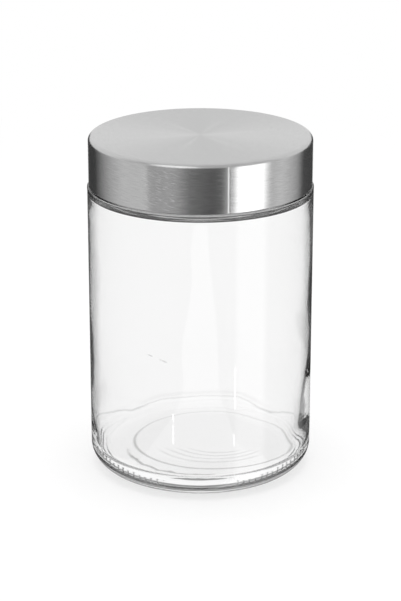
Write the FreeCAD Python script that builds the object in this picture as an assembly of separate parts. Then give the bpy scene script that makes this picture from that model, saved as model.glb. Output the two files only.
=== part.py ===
# Clear glass storage jar with a brushed steel lid pressed over its neck. The jar is empty and closed.
# Millimetres, +Z up. The origin is the middle of the base, on the surface that the jar stands on.
# Both pieces are turned about Z: each is a half outline in the XZ plane, given as corners with the
# radius that rounds them, and carried once round the axis.

import FreeCAD, Part
import math
import os

# Whole jar
OVERALL_HEIGHT = 168.0      # standing surface to the lid's flat top
BODY_DIAMETER = 110.0       # straight side of the glass

# Lid
LID_HEIGHT = 24.0           # flat top to lower edge
LID_SHEET = 0.6             # thickness of the steel
LID_EDGE_RADIUS = 2.1       # outside, between the flat top and the skirt
HEM_HEIGHT = 3.0            # height of the sheet that is folded back inside the lower edge

# Glass
BODY_WALL = 3.4
NECK_WALL = 3.2
RIM_ROUNDING = 1.2          # both edges of the rim
NECK_FILLET = 0.6           # where the neck stands on the shoulder
BEAD_HEIGHT = 4.0           # ring round the neck that centres the lid
BEAD_LIFT = 9.0             # from the lid's lower edge up to the ring's middle
SHOULDER_ROUNDING = 0.9     # outside, between the side and the level shoulder
INNER_SHOULDER_DROP = 3.9   # the inner wall starts to narrow this far below the shoulder
INNER_SHOULDER_RISE = 3.3   # height over which it narrows
INNER_SHOULDER_ROUNDING = 1.5

# Base of the glass
HEEL_RADIUS = 11.5          # outside, between the foot and the side
FOOT_WIDTH = 3.5            # flat ring that the jar stands on
PUSH_UP_HEIGHT = 0.8        # rise of the underside from the foot to its middle
FLOOR_HEIGHT = 10.5         # standing surface to the inner floor beside its corner
FLOOR_CORNER_RADIUS = 2.8   # inside, between the floor and the wall
FLOOR_LEDGE = 2.0           # level ring between that corner and the crown
FLOOR_CROWN = 2.6           # rise of the inner floor to its middle

# Fits
LID_INSET = 0.7             # the lid's side stands this far inside the glass's side
LID_SEAT_GAP = 0.2          # between the rim and the lid's underside
SKIRT_GAP = 0.4             # between the shoulder and the lid's lower edge
BEAD_CLEARANCE = 0.4        # between the neck's ring and the hem that passes over it
NECK_CLEARANCE = 2.9        # between the neck and the hem

AXIS = FreeCAD.Vector(0, 0, 1)
CENTRE = FreeCAD.Vector(0, 0, 0)
HEM_ROUNDING_SHARE = 0.42   # of the hem's thickness, so that a thin flat stays on the lower edge
RIM_ROUNDING_LIMIT = 0.45   # of the neck's wall
SHORTEST_LINE = 1e-6

# Sizes that follow from those
body_radius = BODY_DIAMETER / 2
lid_radius = body_radius - LID_INSET
skirt_inner_radius = lid_radius - LID_SHEET
hem_inner_radius = skirt_inner_radius - LID_SHEET
neck_radius = hem_inner_radius - NECK_CLEARANCE
bead_radius = hem_inner_radius - BEAD_CLEARANCE

lid_underside = OVERALL_HEIGHT - LID_SHEET
lid_lower_edge = OVERALL_HEIGHT - LID_HEIGHT
rim_height = lid_underside - LID_SEAT_GAP
shoulder_top = lid_lower_edge - SKIRT_GAP


def point(r, z):
    """Place in the half plane of the outlines: r from the axis, z above the standing surface."""
    return FreeCAD.Vector(r, 0, z)


def line(start, end):
    return Part.LineSegment(start, end).toShape()


def rounded_run(corners):
    """Edges along a row of (r, z, rounding) corners. A corner with a rounding becomes an arc that is
    tangent to both of its sides; the first and the last corner are plain ends. Roundings that meet
    have no line between them."""
    places = [point(r, z) for r, z, _ in corners]
    edges = []
    reached = places[0]
    for i in range(1, len(corners) - 1):
        rounding = corners[i][2]
        towards = (places[i] - places[i - 1]).normalize()
        away = (places[i + 1] - places[i]).normalize()
        turn = towards.getAngle(away)
        back_off = rounding * math.tan(turn / 2)
        arc_start = places[i] - towards * back_off
        arc_end = places[i] + away * back_off
        to_middle = (away - towards).normalize()
        bulge = rounding / math.cos(turn / 2) - rounding
        if reached.distanceToPoint(arc_start) > SHORTEST_LINE:
            edges.append(line(reached, arc_start))
        edges.append(Part.Arc(arc_start, places[i] + to_middle * bulge, arc_end).toShape())
        reached = arc_end
    edges.append(line(reached, places[-1]))
    return edges


def dome(edge_radius, edge_z, rise):
    """Arc of a shallow round dome, from its edge to its middle on the axis, where it is level."""
    ball_radius = (edge_radius ** 2 + rise ** 2) / (2 * rise)
    half_angle = math.asin(edge_radius / ball_radius) / 2
    ball_centre_z = edge_z + rise - ball_radius
    halfway = point(ball_radius * math.sin(half_angle), ball_centre_z + ball_radius * math.cos(half_angle))
    return Part.Arc(point(edge_radius, edge_z), halfway, point(0, edge_z + rise)).toShape()


def turned(edges):
    """Solid of revolution about Z of the closed outline that the edges make."""
    outline = Part.Face(Part.Wire(Part.__sortEdges__(edges)))
    return outline.revolve(CENTRE, AXIS, 360)


def make_jar():
    """One piece of glass: pushed-up base, rounded heel, straight side, shoulder, neck with its ring, rim."""
    push_up_radius = body_radius - HEEL_RADIUS - FOOT_WIDTH
    inner_radius = body_radius - BODY_WALL
    neck_inner_radius = neck_radius - NECK_WALL
    crown_radius = inner_radius - FLOOR_CORNER_RADIUS - FLOOR_LEDGE
    rim_rounding = min(RIM_ROUNDING, RIM_ROUNDING_LIMIT * NECK_WALL)
    bead_middle = lid_lower_edge + BEAD_LIFT
    bead_foot = bead_middle - BEAD_HEIGHT / 2
    bead_top = bead_middle + BEAD_HEIGHT / 2
    bead_rounding = RIM_ROUNDING_LIMIT * BEAD_HEIGHT
    narrowing_foot = shoulder_top - INNER_SHOULDER_DROP
    narrowing_top = narrowing_foot + INNER_SHOULDER_RISE
    skin = rounded_run([
        (push_up_radius, 0, 0),
        (body_radius, 0, HEEL_RADIUS),
        (body_radius, shoulder_top, SHOULDER_ROUNDING),
        (neck_radius, shoulder_top, NECK_FILLET),
        (neck_radius, bead_foot, NECK_FILLET),
        (bead_radius, bead_foot, bead_rounding),
        (bead_radius, bead_top, bead_rounding),
        (neck_radius, bead_top, NECK_FILLET),
        (neck_radius, rim_height, rim_rounding),
        (neck_inner_radius, rim_height, rim_rounding),
        (neck_inner_radius, narrowing_top, INNER_SHOULDER_ROUNDING),
        (inner_radius, narrowing_foot, INNER_SHOULDER_ROUNDING),
        (inner_radius, FLOOR_HEIGHT, FLOOR_CORNER_RADIUS),
        (crown_radius, FLOOR_HEIGHT, 0),
    ])
    floor = dome(crown_radius, FLOOR_HEIGHT, FLOOR_CROWN)
    underside = dome(push_up_radius, 0, PUSH_UP_HEIGHT)
    middle = line(point(0, FLOOR_HEIGHT + FLOOR_CROWN), point(0, PUSH_UP_HEIGHT))
    return turned(skin + [floor, middle, underside])


def make_lid():
    """Thin steel cup, open below: flat top, rounded edge, straight skirt and a folded hem."""
    hem_top = lid_lower_edge + HEM_HEIGHT
    hem_rounding = HEM_ROUNDING_SHARE * (lid_radius - hem_inner_radius)
    fold_rounding = HEM_ROUNDING_SHARE * LID_SHEET
    inner_edge_radius = LID_EDGE_RADIUS - LID_SHEET
    sheet = rounded_run([
        (0, OVERALL_HEIGHT, 0),
        (lid_radius, OVERALL_HEIGHT, LID_EDGE_RADIUS),
        (lid_radius, lid_lower_edge, hem_rounding),
        (hem_inner_radius, lid_lower_edge, hem_rounding),
        (hem_inner_radius, hem_top, fold_rounding),
        (skirt_inner_radius, hem_top, fold_rounding),
        (skirt_inner_radius, lid_underside, inner_edge_radius),
        (0, lid_underside, 0),
    ])
    middle = line(point(0, lid_underside), point(0, OVERALL_HEIGHT))
    return turned(sheet + [middle])


def main():
    os.makedirs("parts", exist_ok=True)
    for name, make in (("jar", make_jar), ("lid", make_lid)):
        solid = make()
        solid.exportStep("parts/" + name + ".step")
        print(name, "valid", solid.isValid(), "solids", len(solid.Solids), "volume cm3", round(solid.Volume / 1000, 2))


main()
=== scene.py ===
"""Clear glass storage jar with a brushed steel lid, in a plain white studio.

The scene is in metres, and the jar stands on z = 0 with its axis on Z. The overall sizes come from the
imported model. The sizes that its boxes can't give are named below, in millimetres unless they say otherwise.
"""

import math

import bpy
import numpy as np
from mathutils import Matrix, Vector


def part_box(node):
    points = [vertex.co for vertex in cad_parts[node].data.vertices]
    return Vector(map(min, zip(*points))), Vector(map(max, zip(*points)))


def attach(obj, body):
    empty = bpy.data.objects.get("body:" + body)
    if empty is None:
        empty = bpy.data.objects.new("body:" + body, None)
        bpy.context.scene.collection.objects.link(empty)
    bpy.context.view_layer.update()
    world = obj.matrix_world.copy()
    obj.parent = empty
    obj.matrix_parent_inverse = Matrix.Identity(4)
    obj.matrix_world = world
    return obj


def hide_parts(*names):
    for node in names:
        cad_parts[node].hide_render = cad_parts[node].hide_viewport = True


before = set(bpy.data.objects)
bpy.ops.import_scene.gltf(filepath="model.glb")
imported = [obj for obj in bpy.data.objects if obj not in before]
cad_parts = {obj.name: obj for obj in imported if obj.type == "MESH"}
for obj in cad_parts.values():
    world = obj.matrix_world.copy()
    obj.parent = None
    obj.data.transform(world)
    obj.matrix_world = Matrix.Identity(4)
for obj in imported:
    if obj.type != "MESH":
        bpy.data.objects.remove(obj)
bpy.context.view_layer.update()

MM = 0.001
SHORTEST_RUN = 1e-6

# Glass, in millimetres
BODY_WALL = 3.4
NECK_WALL = 3.2
RIM_ROUNDING = 1.2
NECK_FILLET = 0.6
BEAD_HEIGHT = 4.0
BEAD_LIFT = 9.0
BEAD_ROUNDING_SHARE = 0.45      # of the bead's height
SHOULDER_ROUNDING = 0.9
INNER_SHOULDER_DROP = 3.9
INNER_SHOULDER_RISE = 3.3
INNER_SHOULDER_ROUNDING = 1.5
HEEL_RADIUS = 11.5
FOOT_WIDTH = 3.5
PUSH_UP_HEIGHT = 0.8
FLOOR_HEIGHT = 10.5
FLOOR_CORNER_RADIUS = 2.8
FLOOR_LEDGE = 2.0
FLOOR_CROWN = 2.6

# Lid, in millimetres
LID_SHEET = 0.6
LID_EDGE_RADIUS = 2.1
HEM_HEIGHT = 3.0
HEM_ROUNDING = 0.5
HEM_TOP_ROUNDING = 0.25

# Fits, in millimetres
SKIRT_GAP = 0.4
BEAD_CLEARANCE = 0.4
NECK_CLEARANCE = 2.9

# How finely the meshes are cut: steps in a turn, straight steps in millimetres, arc steps in degrees
GLASS_TURNS = 400
OUTSIDE_RUN_STEP = 20.0
OUTSIDE_ARC_STEP = 6.0
INSIDE_RUN_STEP = 3.0
INSIDE_ARC_STEP = 9.0
UNDERSIDE_STEPS = 12
FLOOR_STEPS = 8
LID_TURNS = 384
LID_RUN_STEP = 4.0
LID_ARC_STEP = 10.0

# Unevenness of the inner wall on its +X and on its -X side: height, how far it stands out
RIGHT_WALL_RUN = ((13, 0.0), (18, 0.40), (23, 0.40), (30, 0.15), (38, 0.2), (46, 0.1), (58, -0.35),
                  (70, -0.8), (84, -0.9), (110, -0.8), (138, -0.6))
LEFT_WALL_RUN = ((13, 0.0), (20, -0.5), (30, -0.8), (42, -0.7), (60, -1.1), (80, -1.3),
                 (110, -1.1), (138, -1.0))
RUN_SHARPNESS = 6               # power of the turn's cosine that keeps each run to its own side
# Slow waves over the whole inner wall: how far they stand out, how many go round the jar, height over
# which their phase moves by one radian, phase
WALL_WAVES = ((0.20, 3, 13.0, 0.0), (0.14, 5, -8.0, 0.0), (0.12, 2, 21.0, 2.0))
WAVES_WEAKEN = (40.0, 100.0)    # heights between which they weaken to the least share of themselves
WAVES_LEAST = 0.4
RELIEF_FOOT = 13.0              # the unevenness starts here and is full RELIEF_FOOT_RISE higher
RELIEF_FOOT_RISE = 12.0
RELIEF_TOP = 138.0              # it ends here, and starts to fade RELIEF_TOP_FALL lower
RELIEF_TOP_FALL = 8.0

# Glass material. The tints are grey levels, and each surface that light passes takes a square root of one
GLASS_TINT = 0.985
# the darkest tint, taken by the moulding marks and by the painted shadow under the lid
MARK_AND_SHADOW_TINT = 0.2
GLASS_BUMP = 0.00035            # metres
RIPPLE = (70.0, 2.0)            # noise scale and detail
RIPPLE_HEIGHT = 0.12            # share of the bump

# Marks on the glass, in millimetres and in degrees round Z. A span is (low, high, soft edge)
FINE_WAVER = (160.0, 3.0)       # noise scale and detail
SLOW_WAVER = (40.0, 1.0)

UNDERSIDE_TOP = 1.2             # everything lower is the underside
RING_MIDDLE = (6.6, 5.0)
RING_RADIUS = 39.5
RING_SQUEEZE = 1.113            # along Y
RING_LINE = 0.75                # width of a line
RING_WAVER = 0.8
RING_DARK_Y = (-60.0, 0.0, 30.0)
FINE_ARC_RADII = (31.5, 27.6, 23.8, 20.0)
FINE_ARC_X = (-16.0, 24.0, 8.0)
FINE_ARC_Y = (-60.0, -13.0, 6.0)

TICKS = 104                     # round the whole heel, of which only some show
TICK_CIRCLE = 54.0              # radius at which a tick's width is measured
TICK_LINE = 0.3
TICK_HEIGHT = 7.6               # of their middles, near the front
TICK_CLIMB = 0.12               # for each degree past TICK_CLIMB_FROM
TICK_CLIMB_FROM = 27.0
TICK_Z = (-1.3, 1.3, 0.5)       # about their middles
TICK_WAVER = 4.0
TICK_PITCH_WAVER = 0.5          # share of the pitch
TICK_BEARINGS = (22.0, 66.0, 5.0)
TICK_INNER_RADIUS = 52.8
TICK_STRENGTH = 0.8

WRINKLE_MIDDLE = (1.0, -8.5)
WRINKLE_RADIUS = 38.0
WRINKLE_LINE = 0.85
WRINKLE_WAVER = 3.5
WRINKLE_X = (-33.0, 4.0, 5.0)
WRINKLE_FAR_Y = -15.0
INNER_FLOOR_Z = (9.5, 14.5, 0.5)
INNER_FLOOR_RADII = (0.0, 47.6, 0.8)

# Height of the crease round the inner corner: degrees from the back, height
CREASE_HEIGHTS = ((0, 13.9), (25, 13.6), (38, 11.6), (46, 11.4), (60, 14.5), (78, 18.5), (90, 19.5))
CREASE_TOP = 25.0               # more than the highest of them
CREASE_LINE = 0.4
CREASE_WAVER = 0.8
CREASE_BEARINGS = (0.0, 84.0, 8.0)
CREASE_STRENGTH = 0.55
CREASE_FAINTER_BY = 0.2         # at the back
CREASE_FAINTER_BEARINGS = (0.0, 30.0, 15.0)
CREASE_DEPTH = 0.4
CREASE_RADII = (44.0, 53.0, 0.5)
CREASE_LOWEST = 9.0
HAZE_LIFT = 2.2                 # of the haze over the crease
HAZE_LINE = 1.1
HAZE_BEARINGS = (0.0, 34.0, 10.0)
HAZE_STRENGTH = 0.14

FLECK_HEIGHT = 66.0
FLECK_SLOPE = 0.30
FLECK_LINE = 0.35
FLECK_X = (-26.0, -16.5, 1.0)
FLECK_WAVER = (-0.04, 1.0, 0.06)
FLECK_NEAR_Y = 40.0
FLECK_INNER_RADIUS = 54.0
FLECK_STRENGTH = 0.6

LID_SHADOW_DROP = (0.8, 0.5)     # painted shadow of the lid: dark from between these below the shoulder's top, and on up the neck

# Lid material, in millimetres and degrees
STEEL_TONE = (0.56, 0.66)
STEEL_ROUGHNESS = (0.19, 0.23)
STEEL_BUMP = 0.0001             # metres
LINE_HEIGHT = 0.07              # share of the bump
LINE_SPREAD = (0.3, 0.7)        # of the lines' noise, from dark and smooth to light and dull
LINES_ROUND = 9.0               # noise cells for a radian round the lid
LINES_ACROSS = 2.6              # and for a millimetre across the lines
LINES_SLANT = 6.0
LINES_DETAIL = 4.0
LINES_ROUGHNESS = 0.65
# Painted highlight: faint light rays across the brushed top, in place of the reflections its brushing gives:
# turn, how much lighter
PAINTED_LID_RAYS = ((126, 0.032), (72, 0.032), (12, 0.015))
RAY_WIDTH = 0.09
RAY_RADII = (2.0, 12.0, 30.0)
TOP_ZONE = 0.5                  # everything within this of the lid's top is the flat top
SCUFF_CELLS = (0.3, 2.4)        # noise cells for a millimetre round the skirt and up it
SCUFF_CLIMB = 0.6
SCUFF_DETAIL = 2.0
SCUFF_TURNS = (-117.0, -103.0, 5.0)
SCUFF_LOWEST = 100.0
SCUFF_TOP_DROP = 5.0
SCUFF_SOFT = 2.0
SCUFF_SPREAD = (0.55, 0.72)
SCUFF_STRENGTH = 0.18
GROOVE_TURN = -75.8             # of the upright groove in the skirt
GROOVE_LINE = 0.4
GROOVE_WAVER = 1.2
GROOVE_DEPTH = 0.5              # share of the bump

# Studio walls, as metal and glass mirror them near the horizon: bearing in degrees round Z from the
# camera's side towards +X, level
WALL_LEVELS = (
    (-180, 0.9), (-171, 0.9), (-166, 0.05), (-135, 0.05), (-125, 0.2), (-103, 0.55), (-86, 0.74),
    (-57, 0.74), (-53, 0.46), (-28, 0.44), (-11, 0.18), (3, 0.14), (12, 0.1), (22, 0.14), (26, 0.34),
    (28, 0.36), (29.5, 1.3), (31, 0.38), (34, 0.9), (37, 1.6), (40, 2.1), (66, 2.1), (71, 1.2),
    (76, 0.66), (90, 0.8), (106, 0.6), (116, 0.45), (128, 0.08), (166, 0.05), (171, 0.9), (180, 0.9))
CEILING_RISE = 0.12             # directions that climb more than this meet the ceiling
CEILING_LEVELS = (0.62, 0.88)   # on the camera's side, behind the jar
CEILING_TURN = 0.3              # it changes between this far on either side of the middle
EDGE_LAMP = (-0.40, -0.77, 0.5)     # direction of the lamp that lights the lid's rounded edge
EDGE_LAMP_CONE = (30, 8)            # degrees, from its edge to its full level
EDGE_LAMP_LEVEL = 0.9
# Clear glass mirrors the room at least this bright, within these bearings and down to this height
GLASS_WALL_LEVEL = 0.9
GLASS_WALL_BEARINGS = (0.0, 2.1, 0.35)      # radians from the camera's side, either way
GLASS_WALL_LOWEST = -0.42
# Upright strip lamps that show as glints low on the glass: bearing, lowest and highest place
GLINTS = ((35.8, -0.375, -0.359), (-28.2, -0.389, -0.383), (34.8, -0.396, -0.390))
GLINT_WIDTH = 0.7               # degrees
GLINT_SOFT = 0.003
GLINT_LEVEL = 7.0
OTHER_LEVEL = 0.8               # what lights the dull surfaces

# Studio as it shows through the glass
PAST_BOTH_WALLS = 3.5           # surfaces passed, after which only white is seen
EDGE_LEVEL = 0.05
LOW_WALL_LEVEL = 0.27
HORIZON = (0.49, 0.5)           # share of the way from straight down to straight up, by height
LOW_WALL_TOP = (0.75, 0.8)

# Floor, in metres
FLOOR_HALF = 3.0
FLOOR_COLOUR = (0.95, 0.95, 0.95, 1)
STRIP_HALF_WIDTHS = (0.068, 0.085)      # of the bright strip of floor, near and far
STRIP_WIDENS = (0.02, 0.12)             # Y over which it widens
SHADE_RADII = (0.03, 0.06)              # painted shadow: seen through the glass, the floor's middle under the jar is a little darker
SHADE_LEVEL = 0.86
GLOW_RADII = (0.15, 0.7)                # the floor turns into plain white
GLOW_LEVEL = 0.7

# Camera and lamp, in metres
CAMERA_PITCH = 19.19            # degrees, downwards
CAMERA_DISTANCE = 1.0545
CAMERA_AIM_HEIGHT = 0.0835
CAMERA_LENS = 127.8             # millimetres
CAMERA_SENSOR = 36.0
LAMP_HEIGHT = 1.5
LAMP_SIZE = 1.0
LAMP_POWER = 12.0

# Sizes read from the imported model, in millimetres
jar_low, jar_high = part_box("jar")
lid_low, lid_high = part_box("lid")
body_radius = (jar_high[0] - jar_low[0]) / 2 / MM
lid_radius = (lid_high[0] - lid_low[0]) / 2 / MM
rim_height = jar_high[2] / MM
lid_top = lid_high[2] / MM
lid_lower_edge = lid_low[2] / MM
skirt_inner_radius = lid_radius - LID_SHEET
hem_inner_radius = skirt_inner_radius - LID_SHEET
neck_radius = hem_inner_radius - NECK_CLEARANCE
bead_radius = hem_inner_radius - BEAD_CLEARANCE
shoulder_top = lid_lower_edge - SKIRT_GAP
inner_radius = body_radius - BODY_WALL


# ---------------------------------------------------------------- turned surfaces

def rounded_outline(corners, run_step, arc_step):
    """Points along a row of (r, z, rounding) corners in the half plane.

    A rounded corner is an arc tangent to both of its sides: its centre lies on the corner's bisector,
    at the rounding divided by the cosine of half the turn. Arcs are cut every arc_step radians and
    straight stretches every run_step.
    """
    places = [np.array(c[:2], float) for c in corners]
    pieces = [places[0][None, :]]
    for i in range(1, len(corners)):
        reached = pieces[-1][-1]
        if i == len(corners) - 1:
            target = places[i]
            arc = None
        else:
            towards = places[i] - places[i - 1]
            towards = towards / np.linalg.norm(towards)
            away = places[i + 1] - places[i]
            away = away / np.linalg.norm(away)
            turn = math.atan2(towards[0] * away[1] - towards[1] * away[0], float(towards @ away))
            rounding = corners[i][2]
            target = places[i] - towards * rounding * math.tan(abs(turn) / 2)
            inward = np.array([-towards[1], towards[0]]) * math.copysign(1.0, turn)
            centre = target + inward * rounding
            steps = max(2, math.ceil(abs(turn) / arc_step))
            start = math.atan2(*(target - centre)[::-1])
            angles = start + turn * np.arange(1, steps + 1) / steps
            arc = centre + rounding * np.stack([np.cos(angles), np.sin(angles)], axis=1)
        length = np.linalg.norm(target - reached)
        if length > SHORTEST_RUN:
            steps = max(1, math.ceil(length / run_step))
            share = (np.arange(1, steps + 1) / steps)[:, None]
            pieces.append(reached + (target - reached) * share)
        if arc is not None:
            pieces.append(arc)
    return np.concatenate(pieces)


def dome_points(edge_radius, edge_z, rise, steps):
    """Points from the middle to the edge of a shallow round dome: z falls with the square of r."""
    r = edge_radius * np.arange(steps) / steps
    return np.stack([r, edge_z + rise * (1 - (r / edge_radius) ** 2)], axis=1)


def outline_normals(outline):
    """Unit normals of an outline, on its right hand side: the tangent turned clockwise."""
    tangent = np.gradient(outline, axis=0)
    tangent /= np.linalg.norm(tangent, axis=1)[:, None]
    return np.stack([tangent[:, 1], -tangent[:, 0]], axis=1)


def turned_mesh(name, outline, turns, relief=None):
    """A closed skin: an outline that starts and ends on the axis, carried round Z in equal turns.

    Point (i, j) is at radius r_i and height z_i, both moved along the outline's normal by relief[i, j],
    and at angle j of the turn. The outline's two ends become single points on the axis.
    """
    body = outline[1:-1]
    angle = 2 * np.pi * np.arange(turns) / turns
    shift = np.zeros((len(body), turns)) if relief is None else relief
    normal = outline_normals(outline)[1:-1]
    r = body[:, :1] + normal[:, :1] * shift
    z = body[:, 1:] + normal[:, 1:] * shift
    ring = np.stack([r * np.cos(angle), r * np.sin(angle), z], axis=2).reshape(-1, 3)
    ends = np.array([[0, 0, outline[0, 1]], [0, 0, outline[-1, 1]]])
    points = np.concatenate([ring, ends]) * MM

    rows = len(body)
    here = np.arange(turns)
    ahead = (here + 1) % turns
    row = np.arange(rows - 1)[:, None] * turns
    above = row + turns
    quads = np.stack([row + here, row + ahead, above + ahead, above + here], axis=2).reshape(-1, 4)
    first = rows * turns
    last_row = (rows - 1) * turns
    start_fan = np.stack([np.full(turns, first), ahead, here], axis=1)
    end_fan = np.stack([last_row + here, last_row + ahead, np.full(turns, first + 1)], axis=1)

    corners = np.concatenate([quads.ravel(), start_fan.ravel(), end_fan.ravel()])
    totals = np.concatenate([np.full(len(quads), 4), np.full(2 * turns, 3)])
    mesh = bpy.data.meshes.new(name)
    mesh.vertices.add(len(points))
    mesh.vertices.foreach_set("co", points.ravel())
    mesh.loops.add(len(corners))
    mesh.loops.foreach_set("vertex_index", corners)
    mesh.polygons.add(len(totals))
    mesh.polygons.foreach_set("loop_start", np.concatenate([[0], np.cumsum(totals)[:-1]]))
    mesh.polygons.foreach_set("loop_total", totals)
    mesh.polygons.foreach_set("use_smooth", np.ones(len(totals), bool))
    mesh.update(calc_edges=True)
    mesh.validate()
    piece = bpy.data.objects.new(name, mesh)
    bpy.context.scene.collection.objects.link(piece)
    return piece


# ---------------------------------------------------------------- shader expressions

class Wire:
    """A socket of a node tree. Python's operators on it add Math nodes to that tree."""

    def __init__(self, board, socket):
        self.board = board
        self.socket = socket

    def math(self, operation, *others):
        return self.board.add("ShaderNodeMath", {"operation": operation}, dict(enumerate((self,) + others)))

    def __add__(self, other):
        return self.math("ADD", other)

    def __sub__(self, other):
        return self.math("SUBTRACT", other)

    def __rsub__(self, other):
        return self.board.add("ShaderNodeMath", {"operation": "SUBTRACT"}, {0: other, 1: self})

    def __mul__(self, other):
        return self.math("MULTIPLY", other)

    def __truediv__(self, other):
        return self.math("DIVIDE", other)

    def __pow__(self, other):
        return self.math("POWER", other)

    __radd__ = __add__
    __rmul__ = __mul__


class Board:
    """A material's or the world's node tree, emptied, with one method that makes every node."""

    def __init__(self, tree):
        self.tree = tree
        tree.nodes.clear()

    def add(self, kind, settings=None, sockets=None, output=0):
        node = self.tree.nodes.new(kind)
        for name, value in (settings or {}).items():
            if name == "stops":
                self.set_stops(node.color_ramp, value)
            else:
                setattr(node, name, value)
        for name, value in (sockets or {}).items():
            if isinstance(value, Wire):
                self.tree.links.new(value.socket, node.inputs[name])
            else:
                node.inputs[name].default_value = value
        return Wire(self, node.outputs[output]) if node.outputs else None

    @staticmethod
    def set_stops(ramp, stops):
        """Stops are (position, grey level) pairs."""
        while len(ramp.elements) > 1:
            ramp.elements.remove(ramp.elements[-1])
        for k, (position, level) in enumerate(stops):
            stop = ramp.elements[0] if k == 0 else ramp.elements.new(position)
            stop.position = position
            stop.color = (level, level, level, 1)

    def path(self, name):
        return self.add("ShaderNodeLightPath", output=name)

    def place(self, kind="Object"):
        return self.add("ShaderNodeTexCoord", None, None, kind)

    def xyz(self, vector):
        return [self.add("ShaderNodeSeparateXYZ", None, {0: vector}, k) for k in range(3)]

    def xyz_in_mm(self):
        return [part * (1 / MM) for part in self.xyz(self.place())]

    def noise(self, place, scale, detail):
        return self.add("ShaderNodeTexNoise", None, {"Vector": place, "Scale": scale, "Detail": detail})

    def flat_noise(self, across, up, detail, roughness=0.5):
        """Noise in the plane of two values, one cell to a unit of each."""
        place = self.add("ShaderNodeCombineXYZ", None, {0: across, 1: up, 2: 0.0})
        return self.add("ShaderNodeTexNoise", {"noise_dimensions": "2D"}, {
            "Vector": place, "Scale": 1.0, "Detail": detail, "Roughness": roughness})

    def scaled(self, value, low, high, start=0.0, end=1.0):
        """From start to end in proportion, as value goes from low to high."""
        return self.add("ShaderNodeMapRange", None, {
            "Value": value, "From Min": low, "From Max": high, "To Min": start, "To Max": end})

    def eased(self, value, low, high, start=0.0, end=1.0):
        """From start to end along an S curve, as value goes from low to high."""
        return self.add("ShaderNodeMapRange", {"interpolation_type": "SMOOTHSTEP"}, {
            "Value": value, "From Min": low, "From Max": high, "To Min": start, "To Max": end})

    def emission(self, level):
        return self.add("ShaderNodeEmission", None, {"Color": (1, 1, 1, 1), "Strength": level})

    def finish(self, shader, kind="ShaderNodeOutputMaterial"):
        self.add(kind, None, {"Surface": shader})


def new_board(name):
    material = bpy.data.materials.new(name)
    material.use_nodes = True
    return material, Board(material.node_tree)


def bell(distance, width):
    """1 on a line, and e to the power of minus the squared distance over the squared width beside it."""
    share = distance / width
    return (share * share * -1.0).math("EXPONENT")


def inside_of(value, low, high, soft):
    """1 while value is between low and high, falling to 0 over soft on each side."""
    board = value.board
    return board.eased(value, low - soft, low) * board.eased(value, high, high + soft, 1.0, 0.0)


def length(a, b):
    return (a * a + b * b) ** 0.5


def degrees_from(across, ahead):
    """Bearing of a place from the ahead direction, to either side, in degrees."""
    return across.math("ARCTAN2", ahead).math("ABSOLUTE") * (180 / math.pi)


# ---------------------------------------------------------------- glass jar

def jar_outline():
    """Outline of the glass, from the middle of the underside over the rim to the middle of the floor.

    The second result says for each point whether it lies on the inner skin.
    """
    push_up_radius = body_radius - HEEL_RADIUS - FOOT_WIDTH
    crown_radius = inner_radius - FLOOR_CORNER_RADIUS - FLOOR_LEDGE
    bead_foot = lid_lower_edge + BEAD_LIFT - BEAD_HEIGHT / 2
    bead_top = bead_foot + BEAD_HEIGHT
    bead_rounding = BEAD_ROUNDING_SHARE * BEAD_HEIGHT
    narrowing_foot = shoulder_top - INNER_SHOULDER_DROP
    underside = dome_points(push_up_radius, 0, PUSH_UP_HEIGHT, UNDERSIDE_STEPS)
    outside = rounded_outline([
        (push_up_radius, 0, 0),
        (body_radius, 0, HEEL_RADIUS),
        (body_radius, shoulder_top, SHOULDER_ROUNDING),
        (neck_radius, shoulder_top, NECK_FILLET),
        (neck_radius, bead_foot, NECK_FILLET),
        (bead_radius, bead_foot, bead_rounding),
        (bead_radius, bead_top, bead_rounding),
        (neck_radius, bead_top, NECK_FILLET),
        (neck_radius, rim_height, RIM_ROUNDING),
        (neck_radius - NECK_WALL / 2, rim_height, 0),
    ], OUTSIDE_RUN_STEP, math.radians(OUTSIDE_ARC_STEP))
    inside = rounded_outline([
        (neck_radius - NECK_WALL / 2, rim_height, 0),
        (neck_radius - NECK_WALL, rim_height, RIM_ROUNDING),
        (neck_radius - NECK_WALL, narrowing_foot + INNER_SHOULDER_RISE, INNER_SHOULDER_ROUNDING),
        (inner_radius, narrowing_foot, INNER_SHOULDER_ROUNDING),
        (inner_radius, FLOOR_HEIGHT, FLOOR_CORNER_RADIUS),
        (crown_radius, FLOOR_HEIGHT, 0),
    ], INSIDE_RUN_STEP, math.radians(INSIDE_ARC_STEP))
    floor = dome_points(crown_radius, FLOOR_HEIGHT, FLOOR_CROWN, FLOOR_STEPS)[::-1]
    outline = np.concatenate([underside, outside, inside[1:], floor])
    is_inside = np.arange(len(outline)) >= len(underside) + len(outside)
    return outline, is_inside


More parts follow.
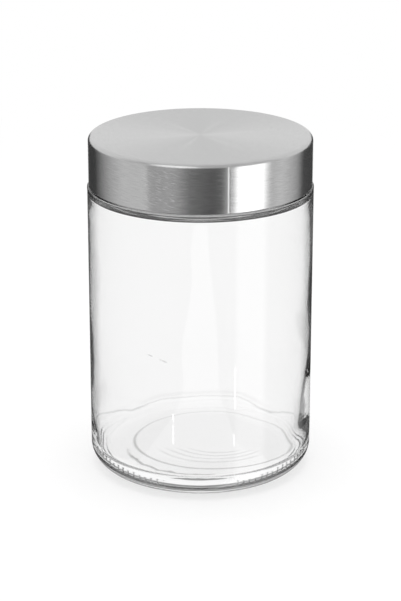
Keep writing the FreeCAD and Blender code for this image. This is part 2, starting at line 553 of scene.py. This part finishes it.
def wall_relief(outline, is_inside):
    """How far each point of the jar's inner skin stands proud of the plain outline, in millimetres.

    Blown glass is uneven inside. On the +X and on the -X side the wall follows its own run of heights
    and depths, each weighted by a power of the cosine of the turn, and slow waves in (turn, height),
    weaker higher up, cross the whole wall. The outer skin stays true to its mould.
    """
    z = outline[1:-1, 1][:, None]
    turn = 2 * np.pi * np.arange(GLASS_TURNS)[None, :] / GLASS_TURNS
    relief = 0.0
    for run, towards in ((RIGHT_WALL_RUN, np.cos(turn)), (LEFT_WALL_RUN, -np.cos(turn))):
        levels, depths = np.array(run).T
        relief = relief + np.interp(z, levels, depths) * np.clip(towards, 0, 1) ** RUN_SHARPNESS
    wave_share = np.interp(z, WAVES_WEAKEN, (1.0, WAVES_LEAST))
    for height, count, pitch, phase in WALL_WAVES:
        relief = relief + height * np.sin(count * turn + z / pitch + phase) * wave_share
    rise = np.clip((z - RELIEF_FOOT) / RELIEF_FOOT_RISE, 0, 1)
    fall = np.clip((RELIEF_TOP - z) / RELIEF_TOP_FALL, 0, 1)
    along_wall = rise * rise * (3 - 2 * rise) * fall
    return np.where(is_inside[1:-1][:, None], relief * along_wall, 0.0)


def mould_rings(x, y, z, drift):
    """Ring and finer arcs on the underside, about a middle beside the jar's axis and squeezed along Y.

    The ring is darker on the near side, and the arcs are only there.
    """
    from_middle = length(x - RING_MIDDLE[0], (y - RING_MIDDLE[1]) * RING_SQUEEZE)
    ring = bell(from_middle - RING_RADIUS + drift * RING_WAVER, RING_LINE)
    arcs = 0.0
    for arc_radius in FINE_ARC_RADII:
        arcs = bell(from_middle - arc_radius + drift * RING_WAVER, RING_LINE) + arcs
    arcs = arcs * inside_of(y, *FINE_ARC_Y) * inside_of(x, *FINE_ARC_X)
    rings = ring * inside_of(y, *RING_DARK_Y) * 0.5 + ring * 0.5 + arcs * 0.5
    return rings * z.math("LESS_THAN", UNDERSIDE_TOP)


def heel_ticks(x, y, z, radius, waver):
    """Short upright ticks at an even pitch on both sides of the heel's front, climbing away from it."""
    turn = y.math("ARCTAN2", x)
    from_front = degrees_from(x, y * -1.0)
    pitch_place = (turn * (TICKS / (2 * math.pi)) + waver * TICK_PITCH_WAVER).math("FRACT") - 0.5
    tick = bell(pitch_place * (2 * math.pi * TICK_CIRCLE / TICKS), TICK_LINE)
    middle = (from_front - TICK_CLIMB_FROM).math("MAXIMUM", 0.0) * TICK_CLIMB + TICK_HEIGHT
    tick = tick * inside_of(z - middle + waver * TICK_WAVER, *TICK_Z) * inside_of(from_front, *TICK_BEARINGS)
    return tick * radius.math("GREATER_THAN", TICK_INNER_RADIUS)


def floor_wrinkle(x, y, z, radius, waver):
    """Chill wrinkle across the near left of the inner floor: a circle's arc with a wavering radius."""
    from_middle = length(x - WRINKLE_MIDDLE[0], y - WRINKLE_MIDDLE[1])
    wrinkle = bell(from_middle - WRINKLE_RADIUS + waver * WRINKLE_WAVER, WRINKLE_LINE)
    wrinkle = wrinkle * inside_of(z, *INNER_FLOOR_Z) * inside_of(radius, *INNER_FLOOR_RADII)
    return wrinkle * inside_of(x, *WRINKLE_X) * y.math("LESS_THAN", WRINKLE_FAR_Y)


def corner_crease(x, y, z, radius, waver):
    """Crease round the inner corner, at a height that changes with the turn, and the haze above it."""
    from_back = degrees_from(x * -1.0, y)
    stops = [(bearing / 180, height / CREASE_TOP) for bearing, height in CREASE_HEIGHTS]
    height = z.board.add("ShaderNodeValToRGB", {"stops": stops}, {0: from_back / 180.0}) * CREASE_TOP
    on_wall = inside_of(radius, *CREASE_RADII) * z.math("GREATER_THAN", CREASE_LOWEST)
    crease = bell(z - height + waver * CREASE_WAVER, CREASE_LINE) * inside_of(from_back, *CREASE_BEARINGS)
    fainter = inside_of(from_back, *CREASE_FAINTER_BEARINGS) * -CREASE_FAINTER_BY
    crease = crease * (fainter + CREASE_STRENGTH) * on_wall
    haze = bell(z - height - HAZE_LIFT, HAZE_LINE) * inside_of(from_back, *HAZE_BEARINGS)
    return crease, haze * HAZE_STRENGTH * on_wall


def wall_flecks(x, y, z, radius, waver):
    """Flecks in a sloping row on the near side's outer skin, broken up where the fine noise is low."""
    flecks = bell(z - FLECK_HEIGHT + x * FLECK_SLOPE, FLECK_LINE) * inside_of(x, *FLECK_X)
    flecks = flecks * inside_of(waver, *FLECK_WAVER) * (y * -1.0).math("GREATER_THAN", FLECK_NEAR_Y)
    return flecks * radius.math("GREATER_THAN", FLECK_INNER_RADIUS) * FLECK_STRENGTH


def glass_marks_and_lid_shadow(board):
    """How dark the glass is marked, and how deep: moulding lines, and painted shadow on all that the lid
    covers.
    """
    place = board.place()
    x, y, z = board.xyz_in_mm()
    radius = length(x, y)
    waver = board.noise(place, *FINE_WAVER) - 0.5
    drift = board.noise(place, *SLOW_WAVER) - 0.5
    ticks = heel_ticks(x, y, z, radius, waver)
    crease, haze = corner_crease(x, y, z, radius, waver)
    marks = mould_rings(x, y, z, drift) + floor_wrinkle(x, y, z, radius, waver) + crease + haze
    marks = marks + wall_flecks(x, y, z, radius, waver) + ticks * TICK_STRENGTH
    # painted shadow of the lid: the glass darkens from just below the shoulder's top on upwards
    from_drop, to_drop = LID_SHADOW_DROP
    painted_lid_shadow = board.eased(z, shoulder_top - from_drop, shoulder_top - to_drop)
    return marks + painted_lid_shadow, ticks + crease * CREASE_DEPTH


def make_glass():
    material, board = new_board("clear_glass")
    # the marks include the painted shadow under the lid
    marks, depth = glass_marks_and_lid_shadow(board)
    ripple = board.noise(board.place(), *RIPPLE)
    relief = board.add("ShaderNodeBump", None, {
        "Strength": 1.0, "Distance": GLASS_BUMP, "Height": ripple * RIPPLE_HEIGHT - depth})
    glass = board.add("ShaderNodeBsdfPrincipled", None, {
        "Base Color": board.scaled(marks, 0.0, 1.0, GLASS_TINT, MARK_AND_SHADOW_TINT),
        "Roughness": 0.0,
        "IOR": 1.5,
        "Transmission Weight": 1.0,
        "Normal": relief,
    })
    board.finish(glass)
    outline, is_inside = jar_outline()
    jar = turned_mesh("jar_glass", outline, GLASS_TURNS, wall_relief(outline, is_inside))
    jar.data.materials.append(material)
    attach(jar, "root")
    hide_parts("jar")


# ---------------------------------------------------------------- steel lid

def lid_outline():
    """Outline of the steel, from the middle of its underside round the skirt to the middle of its top."""
    hem_top = lid_lower_edge + HEM_HEIGHT
    return rounded_outline([
        (0, lid_top - LID_SHEET, 0),
        (skirt_inner_radius, lid_top - LID_SHEET, LID_EDGE_RADIUS - LID_SHEET),
        (skirt_inner_radius, hem_top, HEM_TOP_ROUNDING),
        (hem_inner_radius, hem_top, HEM_TOP_ROUNDING),
        (hem_inner_radius, lid_lower_edge, HEM_ROUNDING),
        (lid_radius, lid_lower_edge, HEM_ROUNDING),
        (lid_radius, lid_top, LID_EDGE_RADIUS),
        (0, lid_top, 0),
    ], LID_RUN_STEP, math.radians(LID_ARC_STEP))


def painted_top_rays(radius, turn):
    """Painted highlight on the flat top: faint light rays, each along a diameter, where the sine from its
    turn is 0.
    """
    rays = 0.0
    for bearing, strength in PAINTED_LID_RAYS:
        rays = bell((turn - math.radians(bearing)).math("SINE"), RAY_WIDTH) * strength + rays
    return rays * inside_of(radius, *RAY_RADII)


def skirt_scuffs(turn, along, z):
    """Scuffs in one patch of the skirt: stretched noise that climbs a little with the turn."""
    cells_round, cells_up = SCUFF_CELLS
    scuffs = z.board.flat_noise(along * cells_round, z * cells_up + along * SCUFF_CLIMB, SCUFF_DETAIL)
    scuffs = z.board.scaled(scuffs, *SCUFF_SPREAD) * inside_of(turn * (180 / math.pi), *SCUFF_TURNS)
    return scuffs * inside_of(z, SCUFF_LOWEST, lid_top - SCUFF_TOP_DROP, SCUFF_SOFT)


def make_lid():
    """The brush lines run round the lid: noise in (turn, height less radius), stretched along the turn."""
    material, board = new_board("brushed_steel_sheet")
    x, y, z = board.xyz_in_mm()
    radius = length(x, y)
    turn = y.math("ARCTAN2", x)
    along = turn * lid_radius
    across = (z - radius) * LINES_ACROSS + turn * LINES_SLANT
    lines = board.flat_noise(turn * LINES_ROUND, across, LINES_DETAIL, LINES_ROUGHNESS)
    on_top = z.math("GREATER_THAN", lid_top - TOP_ZONE)
    tone = board.scaled(lines, *LINE_SPREAD, *STEEL_TONE)
    # the tone takes the painted highlight rays on the top, and the skirt's scuffs
    tone = tone + painted_top_rays(radius, turn) * on_top + skirt_scuffs(turn, along, z) * SCUFF_STRENGTH
    from_groove = along - math.radians(GROOVE_TURN) * lid_radius + (lines - 0.5) * GROOVE_WAVER
    groove = bell(from_groove, GROOVE_LINE) * (1 - on_top)
    relief = board.add("ShaderNodeBump", None, {
        "Strength": 1.0, "Distance": STEEL_BUMP, "Height": lines * LINE_HEIGHT - groove * GROOVE_DEPTH})
    steel = board.add("ShaderNodeBsdfPrincipled", None, {
        "Base Color": tone,
        "Metallic": 1.0,
        "Roughness": board.scaled(lines, *LINE_SPREAD, *STEEL_ROUGHNESS),
        "Anisotropic": 0.95,
        "Anisotropic Rotation": 0.25,
        "Normal": relief,
    })
    board.finish(steel)
    lid = turned_mesh("lid_steel", lid_outline(), LID_TURNS)
    lid.data.materials.append(material)
    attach(lid, "root")
    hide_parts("lid")


# ---------------------------------------------------------------- studio

def mirrored_level(board, direction):
    """What metal and glass mirror: walls by bearing, a ceiling, the lamp for the lid's edge and the glints.

    Only mirror-sharp rays, which are those of the glass, see the brighter walls and the glints.
    """
    x, y, z = board.xyz(direction)
    bearing = x.math("ARCTAN2", y * -1.0)
    stops = [((degrees + 180) / 360, level) for degrees, level in WALL_LEVELS]
    walls = board.add("ShaderNodeValToRGB", {"stops": stops}, {0: bearing / (2 * math.pi) + 0.5})
    ceiling = board.eased(y, -CEILING_TURN, CEILING_TURN, *CEILING_LEVELS)
    level = walls + z.math("GREATER_THAN", CEILING_RISE) * (ceiling - walls)
    dot = {"operation": "DOT_PRODUCT"}
    towards_lamp = board.add("ShaderNodeVectorMath", dot, {0: direction, 1: EDGE_LAMP}, 1)
    cone_edge, cone_core = [math.cos(math.radians(angle)) for angle in EDGE_LAMP_CONE]
    level = level + board.eased(towards_lamp, cone_edge, cone_core, 0.0, EDGE_LAMP_LEVEL)
    in_glass = board.path("Is Singular Ray")
    fill = in_glass * inside_of(bearing.math("ABSOLUTE"), *GLASS_WALL_BEARINGS)
    fill = fill * z.math("GREATER_THAN", GLASS_WALL_LOWEST)
    level = level + fill * (GLASS_WALL_LEVEL - level).math("MAXIMUM", 0.0)
    for degrees, low, high in GLINTS:
        strip = bell(bearing - math.radians(degrees), math.radians(GLINT_WIDTH))
        level = level + in_glass * strip * inside_of(z, low, high, GLINT_SOFT) * GLINT_LEVEL
    return level


def past_both_walls(board):
    return board.path("Transmission Depth").math("GREATER_THAN", PAST_BOTH_WALLS)


def make_world():
    """White to the camera; other rays see a studio whose walls differ by bearing and by height."""
    world = bpy.data.worlds.new("studio")
    bpy.context.scene.world = world
    world.use_nodes = True
    board = Board(world.node_tree)
    direction = board.place("Generated")
    stops = [(HORIZON[0], EDGE_LEVEL), (HORIZON[1], LOW_WALL_LEVEL),
             (LOW_WALL_TOP[0], LOW_WALL_LEVEL), (LOW_WALL_TOP[1], 1.0)]
    climb = board.xyz(direction)[2] * 0.5 + 0.5
    by_height = board.add("ShaderNodeValToRGB", {"stops": stops}, {0: climb})
    seen_through = past_both_walls(board).math("MAXIMUM", by_height)
    glossy = board.path("Is Glossy Ray")
    transmission = board.path("Is Transmission Ray")
    camera = board.path("Is Camera Ray")
    level = glossy * mirrored_level(board, direction) + (1 - glossy) * OTHER_LEVEL
    level = transmission * seen_through + (1 - transmission) * level
    level = camera + (1 - camera) * level
    background = board.add("ShaderNodeBackground", None, {"Color": (1, 1, 1, 1), "Strength": level})
    board.finish(background, "ShaderNodeOutputWorld")


def make_floor():
    """White floor that keeps the jar's shadow. Seen through glass it is a bright strip, dark beside it."""
    mesh = bpy.data.meshes.new("floor")
    corners = [(x * FLOOR_HALF, y * FLOOR_HALF, 0) for x, y in ((-1, -1), (1, -1), (1, 1), (-1, 1))]
    mesh.from_pydata(corners, [], [(0, 1, 2, 3)])
    floor = bpy.data.objects.new("floor", mesh)
    bpy.context.scene.collection.objects.link(floor)
    material, board = new_board("floor_white")
    x, y, _ = board.xyz(board.place())
    from_axis = length(x, y)

    paint = board.add("ShaderNodeBsdfDiffuse", None, {"Color": FLOOR_COLOUR})
    own_glow = board.path("Is Camera Ray") * board.eased(from_axis, *GLOW_RADII, GLOW_LEVEL, 1.0)
    seen = board.add("ShaderNodeMixShader", None, {0: own_glow, 1: paint, 2: board.emission(1.0)})

    half_width = board.scaled(y, *STRIP_WIDENS, *STRIP_HALF_WIDTHS)
    on_strip = (half_width - x.math("ABSOLUTE")).math("GREATER_THAN", 0.0)
    bright = on_strip.math("MAXIMUM", past_both_walls(board))
    # painted shadow of the jar on the floor, as the glass shows it
    middle_shade = board.eased(from_axis, *SHADE_RADII, SHADE_LEVEL, 1.0)
    through_glass = board.emission(bright * middle_shade * (1 - EDGE_LEVEL) + EDGE_LEVEL)
    transmission = board.path("Is Transmission Ray")
    board.finish(board.add("ShaderNodeMixShader", None, {0: transmission, 1: seen, 2: through_glass}))
    mesh.materials.append(material)
    floor.visible_glossy = False


def make_lamp():
    """Soft round lamp over the jar. Neither steel nor glass shows it."""
    data = bpy.data.lights.new("overhead", "AREA")
    data.shape = "DISK"
    data.size = LAMP_SIZE
    data.energy = LAMP_POWER
    lamp = bpy.data.objects.new("overhead", data)
    lamp.location = (0, 0, LAMP_HEIGHT)
    bpy.context.scene.collection.objects.link(lamp)
    lamp.visible_glossy = False
    lamp.visible_transmission = False


def make_camera():
    pitch = math.radians(CAMERA_PITCH)
    data = bpy.data.cameras.new("camera")
    data.lens = CAMERA_LENS
    data.sensor_width = CAMERA_SENSOR
    camera = bpy.data.objects.new("camera", data)
    height = CAMERA_AIM_HEIGHT + CAMERA_DISTANCE * math.sin(pitch)
    camera.location = (0, -CAMERA_DISTANCE * math.cos(pitch), height)
    camera.rotation_euler = (math.pi / 2 - pitch, 0, 0)
    bpy.context.scene.collection.objects.link(camera)
    bpy.context.scene.camera = camera


def set_light_paths():
    """Thick glass passes light on through many inner reflections before it leaves."""
    cycles = bpy.context.scene.cycles
    cycles.max_bounces = 32
    cycles.glossy_bounces = 20
    cycles.transmission_bounces = 24


def main():
    bpy.context.scene.view_settings.view_transform = "Standard"
    set_light_paths()
    make_camera()
    make_world()
    make_floor()
    make_lamp()
    make_glass()
    make_lid()


main()
